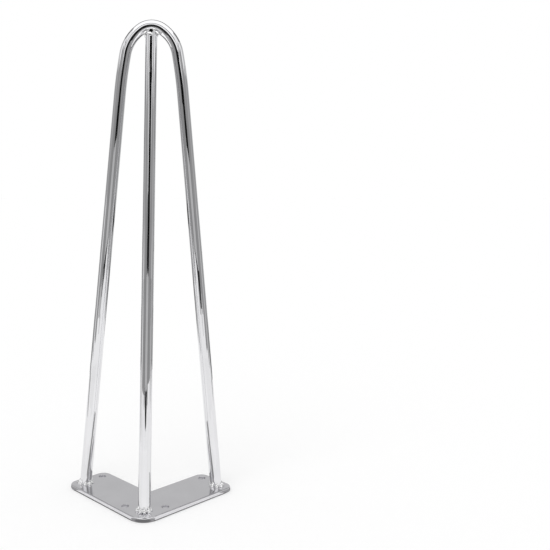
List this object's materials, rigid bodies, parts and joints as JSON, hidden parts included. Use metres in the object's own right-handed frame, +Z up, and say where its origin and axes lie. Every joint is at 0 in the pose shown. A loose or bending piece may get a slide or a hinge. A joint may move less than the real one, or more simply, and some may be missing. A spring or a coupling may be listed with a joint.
{
  "type": "hairpin table leg",
  "caption": "Chrome-plated hairpin table leg: a bent round rod braced by a straight rod, welded to a V-shaped mounting plate with plain screw holes.",
  "frame": {"origin": "on the mounting face, midway between the two front screw holes, in the leg's mirror plane", "axes": "+Z up from the mounting face to the bend, +Y in the mirror plane from the plate's corner to the open side of the V, +X along the line of the hairpin's feet"},
  "size_m": [0.1376, 0.1058, 0.3999],
  "materials": {
    "rod_chrome": "bright chrome plate on drawn steel rod",
    "plate_chrome": "bright chrome plate on flat steel, slightly softer than the rods",
    "weld_chrome": "bright chrome plate over rippled weld beads"
  },
  "bodies": {
    "root": {"mounting_plate": "plate_chrome", "hairpin_rod": "rod_chrome", "centre_rod": "rod_chrome", "weld_beads": "weld_chrome"}
  },
  "joints": []
}
